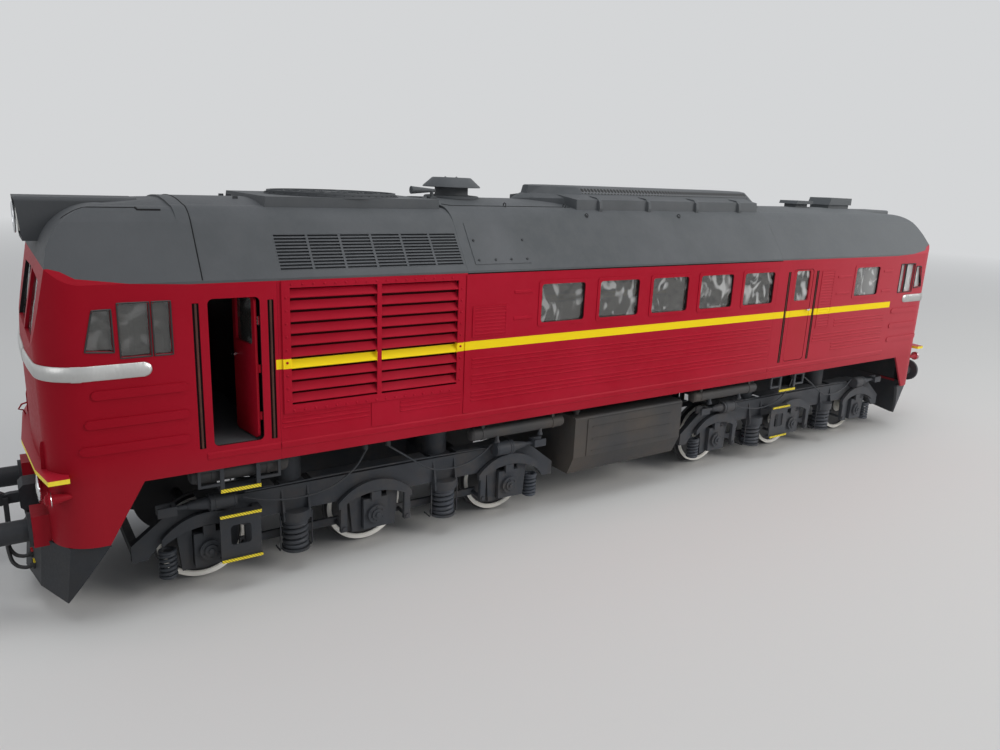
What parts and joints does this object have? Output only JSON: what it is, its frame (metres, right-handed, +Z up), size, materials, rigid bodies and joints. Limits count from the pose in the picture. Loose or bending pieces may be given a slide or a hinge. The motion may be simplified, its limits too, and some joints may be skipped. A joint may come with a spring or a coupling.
{
  "type": "scale model of a six-axle twin-cab diesel locomotive",
  "caption": "Scale model locomotive: hollow two-cab body with louvres, doors that open inwards and bogies that swivel on free-turning wheelsets.",
  "frame": {"origin": "under the middle of the locomotive, level with the lowest point of the wheel flanges", "axes": "+X along the locomotive from end a to end b, +Y across it, +Z up; end a with the open door is at -X, and that door is on the -Y side"},
  "size_m": [0.78, 0.1352, 0.2158],
  "materials": {
    "body_red": "satin",
    "roof_grey": "satin",
    "gear_grey": "matt",
    "bright_foil": "foil",
    "clear_film": "clear",
    "wheel_cream": "matt",
    "lamp_lens": "clear",
    "floor_dark": "matt",
    "fitting_grey": "matt"
  },
  "bodies": {
    "body": {"air_reservoirs": "gear_grey", "body_steps": "gear_grey", "brake_hoses": "gear_grey", "buffer_boxes": "body_red", "buffers": "gear_grey", "bulkheads": "floor_dark", "cab_fittings": "fitting_grey", "cab_roof_a": "roof_grey", "cab_roof_b": "roof_grey", "cab_shell_a": "body_red", "cab_shell_b": "body_red", "couplers": "gear_grey", "door_handrails": "gear_grey", "door_panels": "body_red", "fan_ring": "roof_grey", "floor": "floor_dark", "footboards": "body_red", "fuel_tank": "gear_grey", "glazing": "clear_film", "headlamps": "lamp_lens", "headlight_boxes": "roof_grey", "nose_bands": "bright_foil", "ploughs": "gear_grey", "roof_engine": "roof_grey", "roof_fittings": "roof_grey", "roof_grilles": "roof_grey", "roof_housing": "roof_grey", "roof_radiator": "roof_grey", "roof_rear": "roof_grey", "side_louvres": "body_red", "side_trim": "body_red", "side_wall_left": "body_red", "side_wall_right": "body_red", "silencer": "roof_grey", "tail_lamps": "body_red", "underframe": "floor_dark"},
    "bogie_a": {"axleboxes_a": "gear_grey", "bogie_frame_a": "gear_grey", "brake_cylinders_a": "gear_grey", "levers_a": "gear_grey", "side_frames_a": "gear_grey", "spring_beams_a": "gear_grey", "springs_a": "gear_grey"},
    "wheelset_a1": {"wheelset_a1": "wheel_cream"},
    "wheelset_a2": {"wheelset_a2": "wheel_cream"},
    "wheelset_a3": {"wheelset_a3": "wheel_cream"},
    "bogie_b": {"axleboxes_b": "gear_grey", "bogie_frame_b": "gear_grey", "brake_cylinders_b": "gear_grey", "levers_b": "gear_grey", "side_frames_b": "gear_grey", "spring_beams_b": "gear_grey", "springs_b": "gear_grey"},
    "wheelset_b1": {"wheelset_b1": "wheel_cream"},
    "wheelset_b2": {"wheelset_b2": "wheel_cream"},
    "wheelset_b3": {"wheelset_b3": "wheel_cream"},
    "door_front_left": {"door_front_left": "body_red"},
    "door_front_right": {"door_front_right": "body_red"},
    "door_rear_left": {"door_rear_left": "body_red"},
    "door_rear_right": {"door_rear_right": "body_red"}
  },
  "joints": [
    {"name": "bogie_a_swivel", "type": "hinge", "parent": "body", "child": "bogie_a", "pos_m": [-0.1911, 0, 0.055], "axis": [0, 0, 1], "range_deg": [-3, 3]},
    {"name": "wheelset_a1_turn", "type": "hinge", "parent": "bogie_a", "child": "wheelset_a1", "pos_m": [-0.2844, 0, 0.02455], "axis": [0, 1, 0], "continuous": true},
    {"name": "wheelset_a2_turn", "type": "hinge", "parent": "bogie_a", "child": "wheelset_a2", "pos_m": [-0.1911, 0, 0.02455], "axis": [0, 1, 0], "continuous": true},
    {"name": "wheelset_a3_turn", "type": "hinge", "parent": "bogie_a", "child": "wheelset_a3", "pos_m": [-0.0978, 0, 0.02455], "axis": [0, 1, 0], "continuous": true},
    {"name": "bogie_b_swivel", "type": "hinge", "parent": "body", "child": "bogie_b", "pos_m": [0.1911, 0, 0.055], "axis": [0, 0, 1], "range_deg": [-3, 3]},
    {"name": "wheelset_b1_turn", "type": "hinge", "parent": "bogie_b", "child": "wheelset_b1", "pos_m": [0.0978, 0, 0.02455], "axis": [0, 1, 0], "continuous": true},
    {"name": "wheelset_b2_turn", "type": "hinge", "parent": "bogie_b", "child": "wheelset_b2", "pos_m": [0.1911, 0, 0.02455], "axis": [0, 1, 0], "continuous": true},
    {"name": "wheelset_b3_turn", "type": "hinge", "parent": "bogie_b", "child": "wheelset_b3", "pos_m": [0.2844, 0, 0.02455], "axis": [0, 1, 0], "continuous": true},
    {"name": "door_front_left_hinge", "type": "hinge", "parent": "body", "child": "door_front_left", "pos_m": [-0.25835, -0.06325, 0.12], "axis": [0, 0, -1], "range_deg": [-80, 0]},
    {"name": "door_front_right_hinge", "type": "hinge", "parent": "body", "child": "door_front_right", "pos_m": [-0.25835, 0.06325, 0.12], "axis": [0, 0, 1], "range_deg": [0, 80]},
    {"name": "door_rear_left_hinge", "type": "hinge", "parent": "body", "child": "door_rear_left", "pos_m": [0.15205, -0.06325, 0.12], "axis": [0, 0, 1], "range_deg": [0, 80]},
    {"name": "door_rear_right_hinge", "type": "hinge", "parent": "body", "child": "door_rear_right", "pos_m": [0.15205, 0.06325, 0.12], "axis": [0, 0, -1], "range_deg": [0, 80]}
  ]
}
